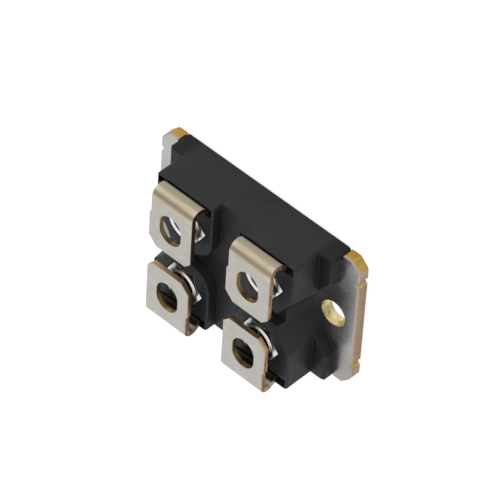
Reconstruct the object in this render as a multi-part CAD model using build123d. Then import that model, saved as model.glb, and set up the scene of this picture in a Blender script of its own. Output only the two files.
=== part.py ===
"""Four-terminal screw-type power module on a flat metal baseplate.

A moulded cap is glued onto a nickel-plated copper plate, which is screwed down through its two
end holes. Four plated copper straps come up through the cap and fold over four captive nuts.
Inside, a transistor chip sits on a ceramic substrate, is joined by ribbons to the copper areas
that carry the straps, and is covered with gel.

Millimetres, +Z up. The origin is the centre of the mounting face; X runs from one mounting hole
to the other and Y across the plate.
"""
import os
from math import atan2, cos, degrees, hypot, radians, sin, sqrt, tan

from build123d import *

# Baseplate
plate_length = 38.1
plate_width = 24.1
plate_thickness = 2.0
plate_end_length = 3.1
plate_corner_cut = 1.5
plate_corner_radius = 0.5
mount_inset = 3.95
mount_hole_diameter = 4.4
edge_notch_inset = 3.85
edge_notch_radius = 0.55
edge_notch_depth = 0.4

# Cap, outside
cap_overhang = 0.25
skirt_height = 0.2
skirt_width = 1.0
skirt_clearance = 0.1
ear_length = 2.5
ear_height = 3.9
nest_height = 8.9
valley_floor_height = 6.9
valley_width = 4.9
aisle_width = 2.6
nest_corner_radius = 3.9
recess_radius = 3.8
recess_draft = 8.0
recess_flare_angle = 50.0
corner_radius = 0.6
nest_edge_cut = 0.22
ear_edge_cut = 0.4

# Cap, inside
adhesive_thickness = 0.1
side_wall = 1.4
recess_wall = 1.5
well_floor = 0.65
trough_web = 0.7
gel_headroom = 0.1

# Nuts and their pockets
nut_inset = 5.95
nut_across_flats = 6.5
nut_thickness = 3.2
nut_stand_out = 0.25
nut_bore_diameter = 3.3
nut_mouth_diameter = 4.5
nut_face_diameter = 6.1
nut_chamfer_angle = 30.0
pocket_clearance = 0.12
screw_well_diameter = 4.6
screw_well_depth = 0.5

# Terminal straps
terminal_offset = 0.4
terminal_top = 12.0
fold_overhang = 0.35
fold_outer_radius = 1.55
lean_angle = 38.0
lean_inner_radius = 0.5
leg_inset = 1.1
leg_end_gap = 0.8
foot_inner_radius = 0.4
foot_length = 2.4
strap_thickness = 0.8
tab_width = 8.1
shoulder_step = 0.3
neck_length = 4.5
facing_tab_gap = 3.8
large_corner_cut = 1.5
small_corner_cut = 1.0
screw_slot_width = 4.15
screw_slot_length = 5.2
screw_slot_offset = 0.35

# Troughs and slots that the straps stand in
trough_end_wall = 0.35
trough_inner_gap = 0.35
trough_outer_gap = 0.08
leg_clearance = 0.1

# Substrate, from the plate upwards
substrate_margin = 0.3
base_solder_thickness = 0.12
copper_thickness = 0.3
ceramic_thickness = 0.38
copper_margin = 0.4
copper_corner_cut = 0.4
pad_gap = 0.8
source_pad_width = 6.8
foot_margin = 0.8
strap_solder_thickness = 0.1

# Chip
chip_thickness = 0.22
chip_solder_thickness = 0.08
chip_solder_margin = 0.2
chip_inset = 1.0
chip_margin = 1.3

# Bond ribbons
ribbon_thickness = 0.2
ribbon_foot_length = 0.9
ribbon_cover = 0.25
ribbon_bend_radius = 0.3
source_ribbon_width = 1.5
source_ribbon_pitch = 2.1
source_ribbon_count = 3
source_ribbon_inset = 3.0
source_ribbon_reach = 2.6
signal_ribbon_width = 0.6
signal_ribbon_inset = 0.9
signal_ribbon_reach = 1.6
sense_ribbon_inset = 1.0
gate_ribbon_inset = 0.6
gate_ribbon_margin = 0.3

# Outline of the plate and the cap
mount_x = plate_length / 2 - mount_inset
waist_x = plate_length / 2 - plate_end_length
foot_x = waist_x - skirt_clearance
body_x = foot_x - ear_length
cap_y = plate_width / 2 + cap_overhang
waist_y = cap_y - skirt_width
cavity_x = mount_x - recess_radius - recess_wall
cavity_y = cap_y - side_wall

# Places of the terminals and nuts
terminal_x = (valley_width / 2 + body_x) / 2 - terminal_offset
nut_y = cap_y - nut_inset
leg_y = cap_y - leg_inset
span_y = cap_y + fold_overhang

# Heights of the cap and the nuts
cap_seat = plate_thickness + adhesive_thickness
nut_top = nest_height + nut_stand_out
nut_z = nut_top - nut_thickness
cavity_roof = nut_z - screw_well_depth - well_floor
trough_floor = cavity_roof + trough_web
gel_top = cavity_roof - gel_headroom

# Straps, seen from the side
half_strap = strap_thickness / 2
foot_bend = foot_inner_radius + half_strap
foot_y = leg_y - foot_bend
foot_end_y = foot_y - foot_length
fold_radius = fold_outer_radius - half_strap
fold_y = span_y - fold_outer_radius
fold_z = terminal_top - fold_outer_radius
half_leg = cavity_x - leg_end_gap - terminal_x

# Substrate and chip
ceramic_x = cavity_x - substrate_margin
ceramic_y = cavity_y - substrate_margin
copper_x = ceramic_x - copper_margin
copper_y = ceramic_y - copper_margin
lower_copper_z = plate_thickness + base_solder_thickness
ceramic_z = lower_copper_z + copper_thickness
pad_z = ceramic_z + ceramic_thickness
pad_top = pad_z + copper_thickness
chip_z = pad_top + chip_solder_thickness
chip_top = chip_z + chip_thickness
strap_foot_z = pad_top + strap_solder_thickness
signal_pad_x = half_leg + foot_margin - terminal_x
power_pad_x = signal_pad_x + pad_gap
source_pad_y = source_pad_width - copper_y
drain_pad_y = source_pad_y + pad_gap
chip_size = foot_end_y - drain_pad_y - 2 * chip_margin
chip_x = power_pad_x + chip_inset
chip_y = drain_pad_y + chip_margin

# Places of the signal ribbons and the signal areas
sense_ribbon_y = chip_y + chip_size - sense_ribbon_inset
gate_ribbon_y = chip_y + gate_ribbon_inset
gate_pad_y = gate_ribbon_y + signal_ribbon_width / 2 + gate_ribbon_margin
sense_pad_y = gate_pad_y + pad_gap

# Side of the plate on which each terminal stands, along X and along Y
TERMINALS = {
    "drain": (1, 1),
    "source": (1, -1),
    "sense": (-1, 1),
    "gate": (-1, -1),
}


def block(x0, x1, y0, y1, z0, z1):
    """A box between two corners."""
    size = Box(x1 - x0, y1 - y0, z1 - z0, align=(Align.MIN, Align.MIN, Align.MIN))
    return Pos(x0, y0, z0) * size


def slab(half_x, half_y, z0, z1):
    """A box centred on the Z axis."""
    return block(-half_x, half_x, -half_y, half_y, z0, z1)


def prism(plan, z0, z1):
    """A plan outline raised from z0 to z1."""
    return extrude(Pos(0, 0, z0) * plan, amount=z1 - z0, dir=(0, 0, 1))


def on_both_ends(shape):
    """A shape and its mirror image at the other end of X."""
    return shape + mirror(shape, about=Plane.YZ)


def at_each_corner(shape):
    """A shape at one terminal and its mirror images at the other three."""
    pair = on_both_ends(shape)
    return pair + mirror(pair, about=Plane.XZ)


def turn_to(shape, side_x, side_y):
    """Bring a shape made for the +Y side, about X = 0, to the place of one terminal."""
    if side_y < 0:
        shape = Rot(0, 0, 180) * shape
    return Pos(side_x * terminal_x, 0, 0) * shape


# Baseplate

def make_baseplate():
    """Flat plate: wide ends with cut corners and edge notches, and a waist under the cap."""
    plan = chamfer(Rectangle(plate_length, plate_width).vertices(), plate_corner_cut)
    plan = fillet(plan.vertices(), plate_corner_radius)
    plan -= Rectangle(2 * waist_x, 2 * cap_y)
    plan += Rectangle(2 * waist_x, 2 * waist_y)
    notch_x = plate_length / 2 + edge_notch_radius - edge_notch_depth
    notch_y = plate_width / 2 - edge_notch_inset
    for side in (-1, 1):
        plan -= Pos(side * mount_x, 0) * Circle(mount_hole_diameter / 2)
        for end in (-1, 1):
            plan -= Pos(side * notch_x, end * notch_y) * Circle(edge_notch_radius)
    return prism(plan, 0, plate_thickness)


# Cap

def recess_cutter():
    """Screw recess at the +X end: an arc about the mounting hole and walls that flare out.

    The walls lean outwards by the moulding draft, so the recess is wider at the top.
    """
    rise = terminal_top - plate_thickness
    radius = recess_radius + rise * tan(radians(recess_draft))
    flare = radians(recess_flare_angle)
    inner = Vector(-radius * sin(flare), radius * cos(flare))
    outer = inner + plate_length * Vector(cos(flare), sin(flare))
    arc = ThreePointArc((inner.X, -inner.Y), (-radius, 0), (inner.X, inner.Y))
    walls = Polyline((inner.X, inner.Y), (outer.X, outer.Y), (outer.X, -outer.Y), (inner.X, -inner.Y))
    plan = Pos(mount_x, 0, terminal_top) * make_face(arc + walls)
    return extrude(plan, amount=rise, dir=(0, 0, -1), taper=recess_draft)


def make_tier(half_x, top, recesses):
    """One height of the cap with its corners rounded, cut by the screw recesses."""
    tier = slab(half_x, cap_y, skirt_height, top) - recesses
    ends = tier.faces().filter_by(Axis.X).group_by(Axis.X)
    edges = (ends[0] + ends[-1]).edges()
    upright = edges.filter_by(Axis.X, reverse=True).filter_by(Axis.Y, reverse=True)
    return fillet(upright, corner_radius)


def make_nest():
    """One raised nut nest, square to the outside and round where it faces the other three."""
    nest = block(valley_width / 2, body_x, aisle_width / 2, cap_y, valley_floor_height, nest_height)
    corners = nest.edges().filter_by(Axis.Z).group_by(Axis.Y)
    nest = fillet(corners[0].sort_by(Axis.X)[0], nest_corner_radius)
    outside = nest.edges().filter_by(Axis.Z).group_by(Axis.Y)[-1]
    nest = fillet(outside, corner_radius)
    nest -= recess_cutter()
    return chamfer(nest.faces().sort_by(Axis.Z)[-1].edges(), nest_edge_cut)


def strap_way():
    """Trough in the top of a nest and the slot below it, which a strap passes through."""
    inner = leg_y - half_strap
    outer = leg_y + half_strap
    trough = block(
        valley_width / 2 + trough_end_wall, body_x - trough_end_wall,
        inner - trough_inner_gap, strap_face_at(nest_height) + trough_outer_gap,
        trough_floor, terminal_top,
    )
    half = half_leg + leg_clearance
    slot = block(
        terminal_x - half, terminal_x + half,
        inner - leg_clearance, outer + leg_clearance,
        pad_top, trough_floor,
    )
    return trough + slot


def nut_pocket():
    """Hexagonal seat for a nut, with a well below it for the end of the screw."""
    seat = prism(hexagon(nut_across_flats + 2 * pocket_clearance), nut_z, terminal_top)
    well = prism(Circle(screw_well_diameter / 2), nut_z - screw_well_depth, nut_z)
    return Pos(terminal_x, nut_y) * (seat + well)


def make_housing():
    """Moulded cap: ears on the plate, body, four nests, and everything cut into them."""
    recesses = on_both_ends(recess_cutter())
    ears = make_tier(foot_x, ear_height, recesses)
    ears = chamfer(ears.faces().sort_by(Axis.Z)[-1].edges(), ear_edge_cut)
    cap = ears + make_tier(body_x, valley_floor_height, recesses)
    cap += at_each_corner(make_nest())
    cap -= slab(waist_x, waist_y + skirt_clearance, 0, cap_seat)
    cap -= slab(cavity_x, cavity_y, cap_seat, cavity_roof)
    return cap - at_each_corner(strap_way() + nut_pocket())


def make_adhesive():
    """Glue line between the plate and the cap."""
    layer = slab(foot_x, waist_y, plate_thickness, cap_seat)
    layer -= slab(cavity_x, cavity_y, plate_thickness, cap_seat)
    return layer - on_both_ends(recess_cutter())


# Nuts

def hexagon(across_flats):
    return RegularPolygon(across_flats / 2, 6, major_radius=False)


def make_nut():
    """Hexagon nut on Z = 0: a plain seat, and a chamfered upper face with a countersunk bore."""
    bore = nut_bore_diameter / 2
    mouth = nut_mouth_diameter / 2
    face = nut_face_diameter / 2
    corner = nut_across_flats / sqrt(3)
    drop = (corner - face) * tan(radians(nut_chamfer_angle))
    section = Polygon(
        (bore, 0),
        (bore, nut_thickness - mouth + bore),
        (mouth, nut_thickness),
        (face, nut_thickness),
        (corner, nut_thickness - drop),
        (corner, 0),
        align=None,
    )
    ring = revolve(Plane.XZ * section, Axis.Z)
    return ring & prism(hexagon(nut_across_flats), 0, nut_thickness)


# Terminal straps

def strap_face_at(height):
    """Distance in Y of a strap's outer face at one height, on its leg or its leaning stretch."""
    lean = radians(lean_angle)
    leave_y = fold_y + fold_outer_radius * cos(lean)
    leave_z = fold_z - fold_outer_radius * sin(lean)
    leaning = leave_y + (height - leave_z) * tan(lean)
    return max(leaning, leg_y + half_strap)


def strap_profile():
    """Side view of a strap in Y and Z: foot, leg, outward lean, fold and tab."""
    foot_z = strap_foot_z + half_strap
    tab_z = terminal_top - half_strap
    lean = radians(lean_angle)
    leave_y = fold_y + fold_radius * cos(lean)
    leave_z = fold_z - fold_radius * sin(lean)
    kink_z = leave_z - (leave_y - leg_y) / tan(lean)
    crest_y = leave_y + (tab_z - leave_z) * tan(lean)
    line = FilletPolyline(
        (foot_end_y, foot_z),
        (leg_y, foot_z),
        (leg_y, kink_z),
        (crest_y, tab_z),
        (facing_tab_gap / 2, tab_z),
        radius=[foot_bend, lean_inner_radius + half_strap, fold_radius],
    )
    return Plane.YZ * make_face(offset(line, half_strap, side=Side.BOTH))


def tab_plan():
    """Top view of a strap with its slot: a neck and a tab, flush on one side, with cut corners."""
    end = facing_tab_gap / 2
    shoulder = span_y - neck_length
    half = tab_width / 2
    plan = Polygon(
        (-half, end + large_corner_cut),
        (-half + large_corner_cut, end),
        (half - small_corner_cut, end),
        (half, end + small_corner_cut),
        (half, span_y),
        (-half + shoulder_step, span_y),
        (-half + shoulder_step, shoulder),
        (-half, shoulder - shoulder_step),
        align=None,
    )
    slot = SlotOverall(screw_slot_length, screw_slot_width, rotation=90)
    return plan - Pos(0, nut_y + screw_slot_offset) * slot


def make_strap():
    """One strap on the +Y side, about X = 0, narrower below the shoulders that it rests on."""
    strap = extrude(strap_profile(), amount=tab_width / 2, both=True)
    upper = prism(tab_plan(), trough_floor, terminal_top)
    lower = slab(half_leg, span_y, strap_foot_z, trough_floor)
    return strap & (upper + lower)


def make_strap_solder():
    """Solder under the flat of a strap's foot."""
    return block(-half_leg, half_leg, foot_end_y, foot_y, pad_top, strap_foot_z)


# Substrate and chip

def copper_sheet(x0, x1, y0, y1, z0):
    """A copper area of the substrate, with its corners cut."""
    sheet = block(x0, x1, y0, y1, z0, z0 + copper_thickness)
    return chamfer(sheet.edges().filter_by(Axis.Z), copper_corner_cut)


def make_pads():
    """The four copper areas on the upper side of the ceramic, by terminal."""
    return {
        "drain": copper_sheet(power_pad_x, copper_x, drain_pad_y, copper_y, pad_z),
        "source": copper_sheet(power_pad_x, copper_x, -copper_y, source_pad_y, pad_z),
        "sense": copper_sheet(-copper_x, signal_pad_x, sense_pad_y, copper_y, pad_z),
        "gate": copper_sheet(-copper_x, signal_pad_x, -copper_y, gate_pad_y, pad_z),
    }


def chip_layer(margin, z0, z1):
    """A square layer under or at the chip's place, larger all round by a margin."""
    reach = chip_size + margin
    return block(chip_x - margin, chip_x + reach, chip_y - margin, chip_y + reach, z0, z1)


# Bond ribbons

def make_ribbon(start, end, width):
    """Bond ribbon from the chip's top at start to a copper area at end, both given in X and Y."""
    length = hypot(end[0] - start[0], end[1] - start[1])
    heading = degrees(atan2(end[1] - start[1], end[0] - start[0]))
    half = ribbon_thickness / 2
    line = FilletPolyline(
        (0, chip_top + half),
        (ribbon_foot_length, chip_top + half),
        (length / 2, gel_top - ribbon_cover - half),
        (length - ribbon_foot_length, pad_top + half),
        (length, pad_top + half),
        radius=ribbon_bend_radius,
    )
    profile = Plane.XZ * make_face(offset(line, half, side=Side.BOTH))
    ribbon = extrude(profile, amount=width / 2, both=True)
    return Pos(start[0], start[1], 0) * Rot(0, 0, heading) * ribbon


def make_source_ribbons():
    """Row of wide ribbons from the chip to the source area."""
    start_y = chip_y + source_ribbon_inset
    end_y = source_pad_y - source_ribbon_reach
    first = chip_x + (chip_size - source_ribbon_pitch * (source_ribbon_count - 1)) / 2
    ribbons = []
    for index in range(source_ribbon_count):
        x = first + index * source_ribbon_pitch
        ribbons.append(make_ribbon((x, start_y), (x, end_y), source_ribbon_width))
    return Compound(children=ribbons)


def make_signal_ribbon(y):
    """Narrow ribbon from the chip's edge to the signal area beside it."""
    start_x = chip_x + signal_ribbon_inset
    end_x = signal_pad_x - signal_ribbon_reach
    return make_ribbon((start_x, y), (end_x, y), signal_ribbon_width)


def make_pieces():
    """All pieces by name."""
    strap = make_strap()
    solder = make_strap_solder()
    nut = Pos(0, nut_y, nut_z) * make_nut()
    pads = make_pads()
    outside = {
        "baseplate": make_baseplate(),
        "housing_adhesive": make_adhesive(),
        "housing": make_housing(),
    }
    inside = {
        "base_solder": slab(copper_x, copper_y, plate_thickness, lower_copper_z),
        "substrate_copper": copper_sheet(-copper_x, copper_x, -copper_y, copper_y, lower_copper_z),
        "substrate_ceramic": slab(ceramic_x, ceramic_y, ceramic_z, pad_z),
        "chip_solder": chip_layer(chip_solder_margin, pad_top, chip_z),
        "chip": chip_layer(0, chip_z, chip_top),
        "ribbons_source": make_source_ribbons(),
        "ribbon_sense": make_signal_ribbon(sense_ribbon_y),
        "ribbon_gate": make_signal_ribbon(gate_ribbon_y),
    }
    for name, (side_x, side_y) in TERMINALS.items():
        outside["nut_" + name] = turn_to(nut, side_x, side_y)
        inside["pad_" + name] = pads[name]
        inside["solder_" + name] = turn_to(solder, side_x, side_y)
        inside["terminal_" + name] = turn_to(strap, side_x, side_y)
    gel = slab(cavity_x, cavity_y, plate_thickness, gel_top)
    for piece in inside.values():
        gel -= piece
    return outside | inside | {"silicone_gel": gel}


os.makedirs("parts", exist_ok=True)
for node, shape in make_pieces().items():
    export_step(shape, "parts/" + node + ".step")
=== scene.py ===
import math

import bmesh
import bpy
from mathutils import Matrix, Vector


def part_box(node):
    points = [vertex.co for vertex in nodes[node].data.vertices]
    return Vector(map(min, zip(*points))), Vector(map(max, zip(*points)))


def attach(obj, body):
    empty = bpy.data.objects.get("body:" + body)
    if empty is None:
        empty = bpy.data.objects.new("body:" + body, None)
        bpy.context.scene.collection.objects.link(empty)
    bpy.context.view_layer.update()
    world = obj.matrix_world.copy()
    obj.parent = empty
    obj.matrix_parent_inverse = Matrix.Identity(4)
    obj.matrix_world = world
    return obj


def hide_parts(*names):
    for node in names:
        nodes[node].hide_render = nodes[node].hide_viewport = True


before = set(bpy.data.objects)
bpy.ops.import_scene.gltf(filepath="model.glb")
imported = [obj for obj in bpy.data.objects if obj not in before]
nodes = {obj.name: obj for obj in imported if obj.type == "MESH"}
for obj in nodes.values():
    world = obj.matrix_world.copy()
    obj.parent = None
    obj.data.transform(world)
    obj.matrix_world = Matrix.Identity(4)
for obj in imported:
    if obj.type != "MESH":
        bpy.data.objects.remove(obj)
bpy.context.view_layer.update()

# Camera: a long lens about 66 cm away, up and out from the drain terminal's corner, and rolled so
# that the plate seems to stand on edge, with its long side falling to the right.
picture_right = Vector((0.720927, 0.046624, -0.691441))
picture_up = Vector((-0.517907, 0.699196, -0.492846))
picture_back = Vector((0.460474, 0.713408, 0.528216))
camera_place = Vector((0.303102, 0.471919, 0.350952))
lens = bpy.data.cameras.new("camera")
lens.sensor_fit = "HORIZONTAL"
lens.sensor_width = 36.0
lens.lens = 336.0
lens.shift_x = -0.0007
lens.shift_y = 0.0006
lens.clip_start = 0.01
camera = bpy.data.objects.new("camera", lens)
camera.matrix_world = (
    Matrix.Translation(camera_place)
    @ Matrix((picture_right, picture_up, picture_back)).transposed().to_4x4()
)
bpy.context.scene.collection.objects.link(camera)
bpy.context.scene.camera = camera

# Studio: a pale table, a surround that is white to the camera and has a darker band for mirrors,
# and two large soft lamps. The plate closes an opening in the table, and the table's paper is
# clear from below, so that the plate's underside is lit and seen there too.
table_half = 3.0
table_glow = 0.6
mirrored_share = 0.3
bpy.context.scene.view_settings.view_transform = "Standard"


def fresh_tree(owner):
    """The node tree of a material or of the world, emptied."""
    owner.use_nodes = True
    owner.node_tree.nodes.clear()
    return owner.node_tree


def feed(tree, socket, source):
    """Link an output to a socket, or set the socket's own value to a number or a colour."""
    if isinstance(source, bpy.types.NodeSocket):
        tree.links.new(source, socket)
    elif socket.type == "RGBA" and len(source) == 3:
        socket.default_value = (*source, 1.0)
    else:
        socket.default_value = source


def put(tree, kind, sources=(), **settings):
    """A new node with its settings, and with sources fed to its sockets by name or number."""
    node = tree.nodes.new(kind)
    for name, value in settings.items():
        setattr(node, name, value)
    for name, source in dict(sources).items():
        feed(tree, node.inputs[name], source)
    return node


def reckon(tree, operation, first, second=0.0, third=0.0):
    """One sum on up to three numbers."""
    return put(tree, "ShaderNodeMath", {0: first, 1: second, 2: third}, operation=operation).outputs[0]


def ramp(tree, factor, *stops):
    """A run of greys or colours over a factor."""
    node = put(tree, "ShaderNodeValToRGB", {"Fac": factor})
    while len(node.color_ramp.elements) < len(stops):
        node.color_ramp.elements.new(0.5)
    for element, (place, shade) in zip(node.color_ramp.elements, stops):
        element.position = place
        element.color = (shade, shade, shade, 1.0) if isinstance(shade, float) else (*shade, 1.0)
    return node.outputs["Color"]


def blend(tree, factor, first, second):
    """Two colours blended by a factor."""
    node = put(tree, "ShaderNodeMix", data_type="RGBA")
    for place, source in ((0, factor), (6, first), (7, second)):
        feed(tree, node.inputs[place], source)
    return node.outputs[2]


world = bpy.data.worlds.new("studio")
bpy.context.scene.world = world
tree = fresh_tree(world)
way_out = put(tree, "ShaderNodeTexCoord").outputs["Generated"]
sideways = put(tree, "ShaderNodeSeparateXYZ", {0: way_out}).outputs["Y"]
sideways = reckon(tree, "MULTIPLY_ADD", sideways, 0.5, 0.5)
surround = ramp(tree, sideways, (0.14, 0.92), (0.33, 0.74), (0.45, 0.44), (0.60, 0.44),
                (0.76, 0.85), (0.90, 1.0), (1.0, 0.85))
direct = put(tree, "ShaderNodeLightPath").outputs["Is Camera Ray"]
sky = put(tree, "ShaderNodeBackground", {"Color": blend(tree, direct, surround, (1.0, 1.0, 1.0))})
put(tree, "ShaderNodeOutputWorld", {"Surface": sky.outputs[0]})

paper = bpy.data.materials.new("pale_table")
tree = fresh_tree(paper)
rays = put(tree, "ShaderNodeLightPath")
clear = reckon(tree, "MAXIMUM", rays.outputs["Is Camera Ray"], rays.outputs["Is Transmission Ray"])
mirrored = reckon(tree, "MULTIPLY", rays.outputs["Is Glossy Ray"], mirrored_share)
seen = reckon(tree, "MAXIMUM", clear, mirrored)
glow = put(tree, "ShaderNodeEmission", {"Strength": reckon(tree, "MULTIPLY", seen, table_glow)})
matt = put(tree, "ShaderNodeBsdfDiffuse", {"Color": (0.55, 0.55, 0.55)})
both = put(tree, "ShaderNodeAddShader", {0: matt.outputs[0], 1: glow.outputs[0]})
behind = put(tree, "ShaderNodeNewGeometry").outputs["Backfacing"]
open_back = put(tree, "ShaderNodeBsdfTransparent")
top_only = put(tree, "ShaderNodeMixShader", {0: behind, 1: both.outputs[0], 2: open_back.outputs[0]})
put(tree, "ShaderNodeOutputMaterial", {"Surface": top_only.outputs[0]})

board = bmesh.new()
bmesh.ops.create_grid(board, x_segments=1, y_segments=1, size=table_half)
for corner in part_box("baseplate"):
    for way in (Vector((1.0, 0.0, 0.0)), Vector((0.0, 1.0, 0.0))):
        bmesh.ops.bisect_plane(board, geom=board.verts[:] + board.edges[:] + board.faces[:],
                               plane_co=Vector((corner[0], corner[1], 0.0)), plane_no=way)
under_plate = [face for face in board.faces if face.calc_center_median().length < 0.001]
bmesh.ops.delete(board, geom=under_plate, context="FACES")
table_mesh = bpy.data.meshes.new("table")
board.to_mesh(table_mesh)
board.free()
table_mesh.materials.append(paper)
table = bpy.data.objects.new("table", table_mesh)
bpy.context.scene.collection.objects.link(table)


def hang_lamp(name, place, size, power):
    """A large soft lamp aimed at the module's middle, kept out of mirror reflections."""
    aim = Vector((0.0, 0.0, 0.005)) - Vector(place)
    light = bpy.data.lights.new(name, "AREA")
    light.shape = "SQUARE"
    light.size = size
    light.energy = power
    lamp = bpy.data.objects.new(name, light)
    lamp.location = place
    lamp.rotation_euler = aim.to_track_quat("-Z", "Y").to_euler()
    lamp.visible_glossy = False
    bpy.context.scene.collection.objects.link(lamp)


hang_lamp("lamp_far", place=(-0.3, 0.8, 0.7), size=0.8, power=5.6)
hang_lamp("lamp_near", place=(0.8, 0.15, 0.6), size=0.6, power=2.2)

# Baseplate: copper strip, punched to outline, bored and plated with nickel. The plating is thin on
# the punched edges and in the bores, which show brass and copper tones with marks of the shear.
# Sizes are in millimetres, and a fade says where a tone starts and where it is full.
bore_centre = 15.1
bore_zone = 2.35
notch_zone = 9.5
corner_fade = (8.5, 8.8)
dark_reflection_fade = (-2.0, -7.5)
burr_fade = (1.68, 1.95)


def start_finish(name, **sockets):
    """A new material: its tree, its shader, and the piece's own coordinates in metres."""
    material = bpy.data.materials.new(name)
    tree = fresh_tree(material)
    settings = {key.replace("_", " "): value for key, value in sockets.items()}
    shader = put(tree, "ShaderNodeBsdfPrincipled", settings)
    put(tree, "ShaderNodeOutputMaterial", {"Surface": shader.outputs[0]})
    place = put(tree, "ShaderNodeTexCoord").outputs["Object"]
    return material, tree, shader, place


def stretch(tree, place, scale):
    """The coordinates multiplied by a factor for each axis, in lumps per metre."""
    return put(tree, "ShaderNodeMapping", {"Vector": place, "Scale": scale}).outputs[0]


def cloud(tree, place, scale, detail=3.0, roughness=0.5, distortion=0.0):
    """Noise from 0 to 1; the scale is in lumps per metre."""
    return put(tree, "ShaderNodeTexNoise", {
        "Vector": place, "Scale": scale, "Detail": detail,
        "Roughness": roughness, "Distortion": distortion,
    }).outputs["Fac"]


def facing(tree, axis):
    """How squarely the surface faces along an axis, either way, from 0 to 1."""
    normal = put(tree, "ShaderNodeTexCoord").outputs["Normal"]
    return reckon(tree, "ABSOLUTE", put(tree, "ShaderNodeSeparateXYZ", {0: normal}).outputs[axis])


def measure(tree, place, axis):
    """A coordinate in millimetres."""
    metres = put(tree, "ShaderNodeSeparateXYZ", {0: place}).outputs[axis]
    return reckon(tree, "MULTIPLY", metres, 1000.0)


def distance(tree, first, second):
    """The length of a line with these two sides."""
    squares = reckon(tree, "ADD", reckon(tree, "POWER", first, 2.0), reckon(tree, "POWER", second, 2.0))
    return reckon(tree, "SQRT", squares)


def step(tree, value, none, full):
    """0 at one value and 1 at another, with an even slope between; either may be the larger."""
    node = put(tree, "ShaderNodeMapRange", {"Value": value, "From Min": none, "From Max": full})
    return node.outputs["Result"]


def soften(tree, shader, radius, *bumps):
    """Round the sharp edges by a small radius, with layers of (height, strength, depth) on top."""
    normal = put(tree, "ShaderNodeBevel", {"Radius": radius}, samples=4).outputs[0]
    for layer, strength, depth in bumps:
        normal = put(tree, "ShaderNodeBump", {
            "Height": layer, "Strength": strength, "Distance": depth, "Normal": normal,
        }).outputs[0]
    feed(tree, shader.inputs["Normal"], normal)


def sharp_edge_mask(tree, radius):
    """1 along sharp edges and 0 on the faces between them."""
    rounded = put(tree, "ShaderNodeBevel", {"Radius": radius}, samples=4).outputs[0]
    flat = put(tree, "ShaderNodeNewGeometry").outputs["True Normal"]
    agree = put(tree, "ShaderNodeVectorMath", {0: rounded, 1: flat}, operation="DOT_PRODUCT")
    return ramp(tree, agree.outputs["Value"], (0.75, 1.0), (0.98, 0.0))


def rub(tree, tone, radius, strength, worn):
    """A tone with its sharp edges rubbed towards another."""
    return blend(tree, reckon(tree, "MULTIPLY", sharp_edge_mask(tree, radius), strength), tone, worn)


def dress(material, *names):
    """Give CAD pieces a finish in place of their plain one."""
    for name in names:
        slots = nodes[name].data.materials
        slots.clear()
        slots.append(material)


plating, tree, shader, place = start_finish("nickel_on_copper", Metallic=1.0)
up = measure(tree, place, "Z")
along = reckon(tree, "ABSOLUTE", measure(tree, place, "X"))
across = reckon(tree, "ABSOLUTE", measure(tree, place, "Y"))
patches = cloud(tree, place, 160.0, 3.0, 0.55)
streaks = cloud(tree, stretch(tree, place, (120.0, 3600.0, 120.0)), 1.0, 2.0, 0.5)
face_tone = ramp(tree, patches, (0.3, (0.50, 0.50, 0.49)), (0.7, (0.57, 0.565, 0.55)))
# Painted dark reflection: the plate's face is darkened towards its -Y side, where it mirrors the dark cap.
painted_dark_reflection = reckon(tree, "MULTIPLY", step(tree, measure(tree, place, "Y"), *dark_reflection_fade),
                ramp(tree, patches, (0.3, 0.95), (0.7, 0.75)))
face_tone = blend(tree, painted_dark_reflection, face_tone, (0.355, 0.345, 0.325))
face_tone = blend(tree, ramp(tree, streaks, (0.35, 0.0), (0.7, 0.16)), face_tone, (0.40, 0.395, 0.38))
shear = cloud(tree, stretch(tree, place, (2600.0, 2600.0, 260.0)), 1.0, 3.0, 0.6)
spots = cloud(tree, place, 500.0, 4.0, 0.6, 0.5)
beige = ramp(tree, shear, (0.3, (0.34, 0.25, 0.13)), (0.55, (0.50, 0.39, 0.24)),
             (0.75, (0.64, 0.51, 0.34)))
beige = blend(tree, ramp(tree, spots, (0.48, 0.0), (0.62, 0.8)), beige, (0.54, 0.31, 0.22))
pink = ramp(tree, spots, (0.35, (0.42, 0.24, 0.18)), (0.65, (0.60, 0.42, 0.36)))
beige = blend(tree, step(tree, across, *corner_fade), beige, pink)
gold = ramp(tree, shear, (0.3, (0.46, 0.29, 0.06)), (0.55, (0.64, 0.44, 0.12)),
            (0.8, (0.72, 0.55, 0.20)))
gold = blend(tree, ramp(tree, spots, (0.5, 0.0), (0.66, 0.6)), gold, (0.60, 0.28, 0.04))
amber = ramp(tree, spots, (0.35, (0.50, 0.24, 0.02)), (0.6, (0.72, 0.42, 0.08)))
long_side = reckon(tree, "MULTIPLY", step(tree, facing(tree, "Y"), 0.85, 0.97), 0.75)
gold = blend(tree, long_side, gold, amber)
reamed = cloud(tree, stretch(tree, place, (900.0, 900.0, 1400.0)), 1.0, 4.0, 0.7, 0.4)
pale_gold = ramp(tree, reamed, (0.36, (0.34, 0.26, 0.11)), (0.44, (0.76, 0.62, 0.27)),
                 (0.62, (0.88, 0.80, 0.50)))
cut_tone = blend(tree, step(tree, facing(tree, "Y"), 0.25, 0.45), beige, gold)
in_notch = reckon(tree, "MULTIPLY", step(tree, facing(tree, "Y"), 0.8, 0.9),
                  reckon(tree, "LESS_THAN", across, notch_zone))
from_bore = distance(tree, reckon(tree, "SUBTRACT", along, bore_centre), across)
in_bore = reckon(tree, "LESS_THAN", from_bore, bore_zone)
cut_tone = blend(tree, reckon(tree, "MAXIMUM", in_notch, in_bore), cut_tone, pale_gold)
ragged = reckon(tree, "MULTIPLY_ADD", cloud(tree, place, 1800.0, 3.0), 0.4, up)
pale_top_of_cut = reckon(tree, "MULTIPLY", step(tree, ragged, *burr_fade),
                     reckon(tree, "LESS_THAN", in_bore, 0.5))
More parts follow.
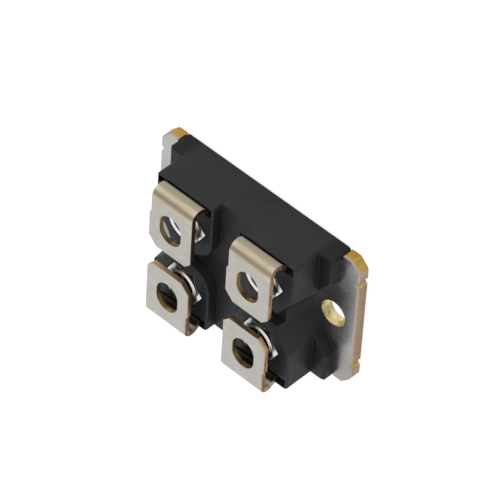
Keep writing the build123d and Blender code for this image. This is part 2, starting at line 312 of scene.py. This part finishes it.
cut_tone = blend(tree, pale_top_of_cut, cut_tone, (0.55, 0.50, 0.44))
on_face = step(tree, facing(tree, "Z"), 0.5, 0.8)
feed(tree, shader.inputs["Base Color"], blend(tree, on_face, cut_tone, face_tone))
polish = ramp(tree, cloud(tree, place, 300.0, 4.0, 0.6), (0.3, 0.24), (0.7, 0.34))
sheared = ramp(tree, shear, (0.3, 0.34), (0.7, 0.5))
feed(tree, shader.inputs["Roughness"], blend(tree, on_face, sheared, polish))
marks = blend(tree, on_face, shear, (0.5, 0.5, 0.5))
soften(tree, shader, 0.0002, (streaks, 0.05, 0.000003), (marks, 0.12, 0.00002))
dress(plating, "baseplate")

# Ceramic tile: a slip of white alumina, fired and scored, soldered to the plate. All solder in the
# module is printed tin alloy that has melted and set with a dull, grained skin.
alumina, tree, shader, place = start_finish("white_alumina", Roughness=0.55)
grains = put(tree, "ShaderNodeTexVoronoi", {"Vector": place, "Scale": 4000.0}).outputs["Distance"]
fired = cloud(tree, place, 350.0, 4.0)
tone = ramp(tree, fired, (0.3, (0.74, 0.73, 0.69)), (0.7, (0.83, 0.82, 0.79)))
tone = blend(tree, ramp(tree, grains, (0.1, 0.12), (0.6, 0.0)), tone, (0.55, 0.54, 0.5))
feed(tree, shader.inputs["Base Color"], rub(tree, tone, 0.00005, 0.4, (0.60, 0.57, 0.50)))
soften(tree, shader, 0.00004, (grains, 0.2, 0.00001))
dress(alumina, "substrate_ceramic")

set_solder, tree, shader, place = start_finish("set_solder", Metallic=1.0)
cells = put(tree, "ShaderNodeTexVoronoi", {"Vector": place, "Scale": 2600.0}).outputs["Distance"]
skin = cloud(tree, place, 700.0, 4.0, 0.6)
tone = ramp(tree, skin, (0.3, (0.46, 0.46, 0.45)), (0.7, (0.66, 0.66, 0.64)))
tone = blend(tree, ramp(tree, cells, (0.0, 0.25), (0.4, 0.0)), tone, (0.34, 0.34, 0.34))
feed(tree, shader.inputs["Base Color"], rub(tree, tone, 0.00005, 0.4, (0.78, 0.78, 0.76)))
feed(tree, shader.inputs["Roughness"], ramp(tree, skin, (0.3, 0.3), (0.7, 0.5)))
soften(tree, shader, 0.00004, (cells, 0.25, 0.00001), (skin, 0.2, 0.00002))
dress(set_solder, *[name for name in nodes if "solder" in name])

# Copper areas: foil bonded to both faces of the tile and etched to shape, with the foot pads of
# the terminals beside the chip's land. Bare copper, slightly tarnished and darker at its edges.
foil, tree, shader, place = start_finish("etched_copper", Metallic=1.0)
tarnish = cloud(tree, place, 330.0, 5.0, 0.62, 0.6)
tone = ramp(tree, tarnish, (0.3, (0.50, 0.24, 0.14)), (0.55, (0.70, 0.38, 0.25)), (0.75, (0.80, 0.50, 0.36)))
feed(tree, shader.inputs["Base Color"], rub(tree, tone, 0.00006, 0.5, (0.30, 0.14, 0.08)))
feed(tree, shader.inputs["Roughness"], ramp(tree, tarnish, (0.3, 0.42), (0.7, 0.26)))
soften(tree, shader, 0.00005, (cloud(tree, place, 2400.0, 3.0), 0.15, 0.00001))
dress(foil, "substrate_copper", *[name for name in nodes if name.startswith("pad_")])

# Chip: a polished slab of silicon, soldered to its land. Its top is covered with aluminium source
# areas in narrow cells, and a bare dark rim is left round the edge where it was sawn.
die, tree, shader, place = start_finish("metallised_silicon")
low, high = (Vector(corner) * 1000.0 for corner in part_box("chip"))
rim_width = 0.25
cell_pitch = 0.22
groove_width = 0.02
chip_x = measure(tree, place, "X")
chip_y = measure(tree, place, "Y")
half_x = (high.x - low.x) / 2
half_y = (high.y - low.y) / 2
from_mid_x = reckon(tree, "ABSOLUTE", reckon(tree, "SUBTRACT", chip_x, (high.x + low.x) / 2))
from_mid_y = reckon(tree, "ABSOLUTE", reckon(tree, "SUBTRACT", chip_y, (high.y + low.y) / 2))
rim = reckon(tree, "MAXIMUM", reckon(tree, "GREATER_THAN", from_mid_x, half_x - rim_width),
             reckon(tree, "GREATER_THAN", from_mid_y, half_y - rim_width))
groove = reckon(tree, "LESS_THAN", reckon(tree, "PINGPONG", chip_x, cell_pitch), groove_width)
bare_silicon = reckon(tree, "MAXIMUM", reckon(tree, "MAXIMUM", rim, groove),
                      reckon(tree, "LESS_THAN", facing(tree, "Z"), 0.5))
metal_grain = cloud(tree, place, 5000.0, 3.0)
metal = ramp(tree, metal_grain, (0.3, (0.66, 0.67, 0.68)), (0.7, (0.78, 0.78, 0.79)))
silicon = ramp(tree, cloud(tree, place, 500.0), (0.3, (0.045, 0.05, 0.065)), (0.7, (0.07, 0.075, 0.10)))
feed(tree, shader.inputs["Base Color"], blend(tree, bare_silicon, metal, silicon))
feed(tree, shader.inputs["Metallic"], reckon(tree, "SUBTRACT", 1.0, bare_silicon))
feed(tree, shader.inputs["Roughness"], ramp(tree, metal_grain, (0.3, 0.2), (0.7, 0.34)))
soften(tree, shader, 0.00002, (metal_grain, 0.1, 0.000005))
dress(die, "chip")

# Bond ribbons: rolled aluminium strip, looped from the chip to the pads and welded by ultrasound.
# Rolling leaves fine lines along each ribbon, and its edges are worn a little brighter.
ribbon, tree, shader, place = start_finish("rolled_aluminium", Metallic=1.0)
rolled = cloud(tree, stretch(tree, place, (900.0, 9000.0, 900.0)), 1.0, 3.0, 0.6)
tone = ramp(tree, rolled, (0.3, (0.72, 0.72, 0.73)), (0.7, (0.85, 0.85, 0.86)))
feed(tree, shader.inputs["Base Color"], rub(tree, tone, 0.00003, 0.4, (0.92, 0.92, 0.93)))
feed(tree, shader.inputs["Roughness"], ramp(tree, rolled, (0.3, 0.24), (0.7, 0.38)))
soften(tree, shader, 0.00003, (rolled, 0.1, 0.000005))
dress(ribbon, *[name for name in nodes if name.startswith("ribbon")])

# Gel: clear soft silicone, poured over the chip and its ribbons and cured, so that it wets every
# wall. It holds a faint milky haze.
gel, tree, shader, place = start_finish("clear_silicone", IOR=1.41, Transmission_Weight=0.92)
milk = cloud(tree, place, 300.0, 4.0)
tone = ramp(tree, milk, (0.3, (0.80, 0.82, 0.80)), (0.7, (0.90, 0.91, 0.90)))
feed(tree, shader.inputs["Base Color"], tone)
feed(tree, shader.inputs["Roughness"], ramp(tree, milk, (0.3, 0.04), (0.7, 0.14)))
soften(tree, shader, 0.00005, (milk, 0.1, 0.00003))
dress(gel, "silicone_gel")

# Adhesive: a bead of dark silicone sealant between the cap's rim and the plate, squeezed thin when
# the cap was pressed down.
bead, tree, shader, place = start_finish("dark_sealant", Specular_IOR_Level=0.35)
lumps = cloud(tree, place, 900.0, 4.0, 0.6)
tone = ramp(tree, lumps, (0.3, (0.018, 0.018, 0.019)), (0.7, (0.032, 0.032, 0.033)))
feed(tree, shader.inputs["Base Color"], rub(tree, tone, 0.00005, 0.4, (0.05, 0.05, 0.05)))
feed(tree, shader.inputs["Roughness"], ramp(tree, lumps, (0.3, 0.45), (0.7, 0.65)))
soften(tree, shader, 0.00005, (lumps, 0.3, 0.00003))
dress(bead, "housing_adhesive")

# Cap: one moulding of charcoal plastic, glued over the plate. Its skin has the fine grain of a
# spark-eroded mould, its sharp edges are worn and painted a little lighter as a highlight, its ears
# carry painted shade that deepens to the foot, and faces not facing along Y carry a painted bluish light.
ear_fade = (12.6, 13.6)
shade_foot_fade = (6.5, 3.5)
edge_lightening_fade = (2.3, 3.0)

charcoal, tree, shader, place = start_finish("charcoal_moulding", Specular_IOR_Level=0.3)
mottle = cloud(tree, place, 240.0, 6.0, 0.62)
tone = ramp(tree, mottle, (0.3, (0.0140, 0.0152, 0.0150)), (0.7, (0.0205, 0.0218, 0.0216)))
# Painted light: faces that do not face along Y get a bluish tint, standing in for cool light from the +X
# side.
painted_cool_light = ramp(tree, mottle, (0.3, (0.0150, 0.0156, 0.0190)), (0.7, (0.0205, 0.0210, 0.0250)))
tone = blend(tree, step(tree, facing(tree, "Y"), 0.8, 0.4), tone, painted_cool_light)
# Painted shade: the ears darken towards the foot, standing in for the shade low between ear and body.
painted_foot_shade = step(tree, measure(tree, place, "Z"), *shade_foot_fade)
on_ear = step(tree, reckon(tree, "ABSOLUTE", measure(tree, place, "X")), *ear_fade)
tone = blend(tree, reckon(tree, "MULTIPLY", painted_foot_shade, on_ear), tone, (0.0060, 0.0064, 0.0078))
# Sharp edges lightened above the plate: partly wear, partly a painted highlight along the edges.
clear_of_plate = step(tree, measure(tree, place, "Z"), *edge_lightening_fade)
worn_and_highlit_edges = reckon(tree, "MULTIPLY", sharp_edge_mask(tree, 0.0002), clear_of_plate)
tone = blend(tree, reckon(tree, "MULTIPLY", worn_and_highlit_edges, 0.4), tone, (0.040, 0.041, 0.042))
grit = put(tree, "ShaderNodeTexVoronoi", {"Vector": place, "Scale": 1300.0}).outputs["Distance"]
thin = ramp(tree, cloud(tree, place, 600.0, 1.0), (0.66, 0.0), (0.72, 1.0))
specks = reckon(tree, "MULTIPLY", ramp(tree, grit, (0.05, 0.7), (0.11, 0.0)), thin)
tone = blend(tree, specks, tone, (0.17, 0.17, 0.175))
feed(tree, shader.inputs["Base Color"], tone)
sheen = cloud(tree, place, 700.0, 5.0, 0.6)
feed(tree, shader.inputs["Roughness"], ramp(tree, sheen, (0.3, 0.40), (0.7, 0.56)))
mould_grain = cloud(tree, place, 9000.0, 2.0, 0.6)
sink = cloud(tree, place, 420.0, 3.0)
soften(tree, shader, 0.00018, (mould_grain, 0.3, 0.00001), (sink, 0.2, 0.00004))
dress(charcoal, "housing")

# Nuts: M4, cold formed in steel, tapped, and bright zinc plated, held in hexagonal pockets of the
# cap. Each stands a little proud, with its corners turned off and its thread countersunk.
across_flats = 6.5
face_width = 6.1
mouth_width = 4.7
nut_bottom = 5.95
nut_top = 9.15
chamfer_slope = math.tan(math.radians(30.0))
thread_pitch = 0.7
thread_inner = 1.65
thread_outer = 2.02
thread_form = ((0.0, thread_inner), (0.12, thread_inner), (0.5, thread_outer), (0.62, thread_outer))
turn_steps = 72
cuts_a_side = 11
corner_break = 0.07
lower_mouth_less = 0.2
mouth_overrun = 0.3
net_half = 0.5
ring_gap = 1.0
close_enough = 0.001
smooth_below = math.radians(25.0)
nut_x = 7.5
nut_y = 6.35
nut_centres = {
    "drain": (nut_x, nut_y),
    "source": (nut_x, -nut_y),
    "sense": (-nut_x, nut_y),
    "gate": (-nut_x, -nut_y),
}


def cut_thread(mesh):
    """A tapped hole, opened out at both ends: a flat net of its profile, wound into a helix that
    is a turn too long at each end and then cut to length. Gives the edges of both its rims."""
    turns = math.ceil((nut_top - nut_bottom) / thread_pitch) + 2
    profile = []
    for turn in range(turns):
        for share, radius in thread_form:
            profile.append((radius, nut_bottom + (turn - 1 + share) * thread_pitch))
    rows = len(profile) - 1
    bmesh.ops.create_grid(mesh, x_segments=turn_steps, y_segments=rows, size=net_half)
    for point in mesh.verts:
        turned = point.co.x + net_half
        radius, height = profile[round((point.co.y + net_half) * rows)]
        angle = 2 * math.pi * turned
        point.co = (radius * math.cos(angle), radius * math.sin(angle), height + turned * thread_pitch)
    bmesh.ops.remove_doubles(mesh, verts=mesh.verts[:], dist=close_enough)
    for point in mesh.verts:
        flat = Vector((point.co.x, point.co.y))
        depth = min(nut_top - point.co.z, point.co.z - nut_bottom + lower_mouth_less)
        opened = min(mouth_width / 2 - depth, mouth_width / 2 + mouth_overrun)
        widened = flat.normalized() * max(flat.length, opened)
        point.co.x, point.co.y = widened
    for level, way in ((nut_top, 1.0), (nut_bottom, -1.0)):
        bmesh.ops.bisect_plane(mesh, geom=mesh.verts[:] + mesh.edges[:] + mesh.faces[:],
                               plane_co=(0.0, 0.0, level), plane_no=(0.0, 0.0, way), clear_outer=True)
    open_edges = [edge for edge in mesh.edges if edge.is_boundary]
    lower_rim = [edge for edge in open_edges if abs(edge.verts[0].co.z - nut_bottom) < close_enough]
    upper_rim = [edge for edge in open_edges if abs(edge.verts[0].co.z - nut_top) < close_enough]
    return lower_rim, upper_rim


def lay_ring(mesh, radius, height, sides, cuts=0):
    """A ring of loose edges round the axis, with each side divided by some cuts."""
    placed = Matrix.Translation((0.0, 0.0, height)) @ Matrix.Rotation(math.radians(30.0), 4, "Z")
    bmesh.ops.create_circle(mesh, radius=radius, segments=sides, matrix=placed)
    if cuts:
        bmesh.ops.subdivide_edges(mesh, edges=[edge for edge in mesh.edges if edge.is_wire], cuts=cuts)
    return [edge for edge in mesh.edges if edge.is_wire]


def form_nut(name, centre):
    """A hexagon nut round a tapped hole. Its rings are laid apart, bridged one by one and only then
    moved to their levels, because two rings in one plane can be bridged the wrong way round."""
    mesh = bmesh.new()
    lower_rim, upper_rim = cut_thread(mesh)
    corner = across_flats / math.sqrt(3.0)
    face_edge = lay_ring(mesh, face_width / 2, nut_top + ring_gap, turn_steps)
    bmesh.ops.bridge_loops(mesh, edges=upper_rim + face_edge)
    shoulder = lay_ring(mesh, corner, nut_top + 2 * ring_gap, 6, cuts_a_side)
    bmesh.ops.bridge_loops(mesh, edges=face_edge + shoulder)
    foot = lay_ring(mesh, corner, nut_bottom - ring_gap, 6, cuts_a_side)
    bmesh.ops.bridge_loops(mesh, edges=shoulder + foot)
    bmesh.ops.bridge_loops(mesh, edges=foot + lower_rim)
    for edge in foot:
        for point in edge.verts:
            point.co.z = nut_bottom
    for edge in face_edge + shoulder:
        for point in edge.verts:
            point.co.z = nut_top - (point.co.xy.length - face_width / 2) * chamfer_slope
    corners = [edge for edge in mesh.edges
               if all(point.co.xy.length > corner - 0.01 for point in edge.verts)]
    bmesh.ops.bevel(mesh, geom=corners, offset=corner_break, segments=2, profile=0.5,
                    affect="EDGES", material=-1)
    bmesh.ops.recalc_face_normals(mesh, faces=mesh.faces[:])
    for edge in mesh.edges:
        edge.smooth = len(edge.link_faces) == 2 and edge.calc_face_angle(0.0) < smooth_below
    for face in mesh.faces:
        face.smooth = True
    placed = Matrix.Translation((centre[0] / 1000.0, centre[1] / 1000.0, 0.0)) @ Matrix.Scale(0.001, 4)
    bmesh.ops.transform(mesh, matrix=placed, verts=mesh.verts[:])
    data = bpy.data.meshes.new(name)
    mesh.to_mesh(data)
    mesh.free()
    nut = bpy.data.objects.new(name, data)
    bpy.context.scene.collection.objects.link(nut)
    return nut


zinc, tree, shader, place = start_finish("bright_zinc", Metallic=1.0)
haze = cloud(tree, place, 900.0, 5.0, 0.6)
bright = ramp(tree, haze, (0.3, (0.80, 0.81, 0.82)), (0.7, (0.90, 0.90, 0.89)))
from_middle_x = reckon(tree, "SUBTRACT", reckon(tree, "ABSOLUTE", measure(tree, place, "X")), nut_x)
from_middle_y = reckon(tree, "SUBTRACT", reckon(tree, "ABSOLUTE", measure(tree, place, "Y")), nut_y)
from_axis = distance(tree, from_middle_x, from_middle_y)
# Painted shade: the tapped bore is coloured near black, standing in for the shade inside the hole.
threaded = reckon(tree, "LESS_THAN", from_axis, mouth_width / 2 - 0.02)
painted_bore_shade = ramp(tree, haze, (0.3, (0.05, 0.05, 0.055)), (0.7, (0.10, 0.10, 0.10)))
feed(tree, shader.inputs["Base Color"], blend(tree, threaded, bright, painted_bore_shade))
feed(tree, shader.inputs["Roughness"], ramp(tree, haze, (0.3, 0.14), (0.7, 0.24)))
soften(tree, shader, 0.00006, (haze, 0.04, 0.00001))
for terminal, centre in nut_centres.items():
    nut = form_nut("nut_threaded_" + terminal, centre)
    nut.data.materials.append(zinc)
    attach(nut, "root")
    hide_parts("nut_" + terminal)

# Terminals: copper alloy strip, plated, then blanked and folded over the nuts. The bend is
# stretched and shows a golden cast, the lean under it is painted lighter with a less metallic finish,
# and the blanked edges and the slot walls are bare and brown.
tab_top = 12.0
tab_underside = 11.19
tab_end = 10.7
slot_y = 6.7
slot_half_length = 2.75
slot_half_width = 2.4
bend_start = 10.2
source_side_lag = 1.4
bend_length = 0.9
bend_highlight_fade = (2.6, 4.0)
dark_band_rise = (11.35, 11.75)
dark_band_fall = (12.35, 12.0)
bend_outside = 12.2
outside_fade = (11.1, 10.7)
tarnish_fade = (0.0, -2.0)
glint_across = (11.2, 11.6)
glint_height = (9.5, 9.9)
lean_light_top = (10.3, 9.95)
lean_light_foot = (9.2, 9.65)

strap, tree, shader, place = start_finish("plated_strip", Metallic=1.0)
up = measure(tree, place, "Z")
along = reckon(tree, "ABSOLUTE", measure(tree, place, "X"))
signed = measure(tree, place, "Y")
across = reckon(tree, "ABSOLUTE", signed)
from_strap_middle = reckon(tree, "ABSOLUTE", reckon(tree, "SUBTRACT", along, nut_x))
from_slot_middle = reckon(tree, "ABSOLUTE", reckon(tree, "SUBTRACT", across, slot_y))
normal = put(tree, "ShaderNodeTexCoord").outputs["Normal"]
turned = put(tree, "ShaderNodeSeparateXYZ", {0: normal})
outward = reckon(tree, "MULTIPLY", turned.outputs["Y"], reckon(tree, "SIGN", signed))
smear = cloud(tree, stretch(tree, place, (220.0, 1500.0, 1500.0)), 1.0, 4.0, 0.6)
clouds = cloud(tree, place, 650.0, 5.0, 0.7)
bare = cloud(tree, stretch(tree, place, (260.0, 260.0, 1300.0)), 1.0, 4.0, 0.5, 0.2)

# The plated faces: flat tab, golden bend with a painted highlight at both its ends, a painted dark
# reflection band on the bends of the drain and sense terminals, and the outer side.
face_tone = ramp(tree, clouds, (0.3, (0.50, 0.49, 0.44)), (0.5, (0.57, 0.545, 0.51)),
                 (0.7, (0.64, 0.61, 0.57)))
start = reckon(tree, "MULTIPLY_ADD", reckon(tree, "LESS_THAN", signed, 0.0), source_side_lag, bend_start)
bent = step(tree, reckon(tree, "SUBTRACT", across, start), 0.0, bend_length)
bent = reckon(tree, "MULTIPLY", bent, ramp(tree, smear, (0.25, 0.7), (0.7, 1.0)))
bend_tone = ramp(tree, smear, (0.3, (0.54, 0.46, 0.31)), (0.7, (0.72, 0.62, 0.44)))
# Painted highlight: the bend is lighter towards both its ends.
painted_bend_end_highlight = reckon(tree, "MULTIPLY", step(tree, from_strap_middle, *bend_highlight_fade), 0.6)
bend_tone = blend(tree, painted_bend_end_highlight, bend_tone, (0.80, 0.71, 0.54))
face_tone = blend(tree, bent, face_tone, bend_tone)
# Painted dark reflection: a darker band across the bends of the drain and sense terminals.
painted_dark_band = reckon(tree, "MULTIPLY", step(tree, signed, *dark_band_rise), step(tree, signed, *dark_band_fall))
face_tone = blend(tree, reckon(tree, "MULTIPLY", painted_dark_band, 0.5), face_tone, (0.42, 0.33, 0.24))
outer_side = reckon(tree, "MULTIPLY", reckon(tree, "GREATER_THAN", across, bend_outside),
                    step(tree, up, *outside_fade))
face_tone = blend(tree, reckon(tree, "MULTIPLY", outer_side, 0.6), face_tone, (0.40, 0.34, 0.22))

# The blanked edges: streaked brown, darker on the sense and gate terminals, and golden on the
# ends and in the slot.
cut_tone = ramp(tree, bare, (0.32, (0.16, 0.09, 0.045)), (0.46, (0.30, 0.18, 0.10)),
                (0.58, (0.60, 0.38, 0.20)), (0.72, (0.66, 0.36, 0.26)))
tarnished = reckon(tree, "MULTIPLY", step(tree, measure(tree, place, "X"), *tarnish_fade), 0.55)
cut_tone = blend(tree, tarnished, cut_tone, (0.13, 0.065, 0.035))
end_tone = ramp(tree, bare, (0.32, (0.24, 0.13, 0.05)), (0.45, (0.44, 0.28, 0.11)),
                (0.56, (0.74, 0.52, 0.22)), (0.70, (0.70, 0.40, 0.20)))
cut_tone = blend(tree, step(tree, facing(tree, "Y"), 0.5, 0.8), cut_tone, end_tone)
slot_tone = ramp(tree, bare, (0.36, (0.34, 0.21, 0.07)), (0.5, (0.56, 0.38, 0.13)),
                 (0.64, (0.88, 0.62, 0.27)))
in_slot = reckon(tree, "MULTIPLY", reckon(tree, "LESS_THAN", from_strap_middle, slot_half_width),
                 reckon(tree, "LESS_THAN", from_slot_middle, slot_half_length))
cut_tone = blend(tree, in_slot, cut_tone, slot_tone)
# Plating rolled over the top of the blanked edges, lightened further as a painted highlight along that edge.
ragged = reckon(tree, "MULTIPLY_ADD", cloud(tree, place, 2200.0, 3.0), 0.5, up)
pale_top_of_cut = reckon(tree, "MULTIPLY", step(tree, ragged, tab_top - 0.02, tab_top + 0.16), 0.75)
cut_tone = blend(tree, pale_top_of_cut, cut_tone, (0.66, 0.56, 0.42))
sideways = reckon(tree, "GREATER_THAN", facing(tree, "X"), 0.35)
upright = reckon(tree, "LESS_THAN", facing(tree, "Z"), 0.5)
on_tab = reckon(tree, "MULTIPLY", reckon(tree, "GREATER_THAN", up, tab_underside),
                reckon(tree, "LESS_THAN", across, tab_end))
cut = reckon(tree, "MAXIMUM", sideways, reckon(tree, "MULTIPLY", upright, on_tab))

# The inside of the bend: painted shade, with painted bright glints in its upper part, and the lean under it,
# painted lighter. These painted parts are made less metallic so that the lamps light them.
inner = reckon(tree, "MAXIMUM", reckon(tree, "LESS_THAN", outward, -0.3),
               reckon(tree, "LESS_THAN", turned.outputs["Z"], -0.3))
glint_zone = reckon(tree, "MULTIPLY", step(tree, across, *glint_across), step(tree, up, *glint_height))
painted_bend_glints = ramp(tree, bare, (0.40, (0.12, 0.09, 0.05)), (0.56, (0.80, 0.76, 0.62)))
painted_inner_shade = blend(tree, glint_zone, (0.030, 0.026, 0.018), painted_bend_glints)
face_tone = blend(tree, inner, face_tone, painted_inner_shade)
# Painted light: the outer side of the lean under the bend gets a browner, less metallic finish, which the
# lamps light up.
painted_lean_light = reckon(tree, "MULTIPLY", step(tree, up, *lean_light_top), step(tree, up, *lean_light_foot))
painted_lean_light = reckon(tree, "MULTIPLY", painted_lean_light, reckon(tree, "GREATER_THAN", outward, 0.5))
face_tone = blend(tree, painted_lean_light, face_tone, (0.36, 0.315, 0.235))
less_metallic = reckon(tree, "MAXIMUM", painted_lean_light, reckon(tree, "MULTIPLY", inner, glint_zone))

feed(tree, shader.inputs["Metallic"], reckon(tree, "MULTIPLY_ADD", less_metallic, -0.85, 1.0))
feed(tree, shader.inputs["Base Color"], blend(tree, cut, face_tone, cut_tone))
worn = ramp(tree, clouds, (0.3, 0.30), (0.7, 0.42))
feed(tree, shader.inputs["Roughness"], blend(tree, cut, worn, (0.42, 0.42, 0.42)))
soften(tree, shader, 0.00012, (cloud(tree, place, 1500.0, 3.0, 0.6), 0.05, 0.00001))
dress(strap, *[name for name in nodes if name.startswith("terminal_")])
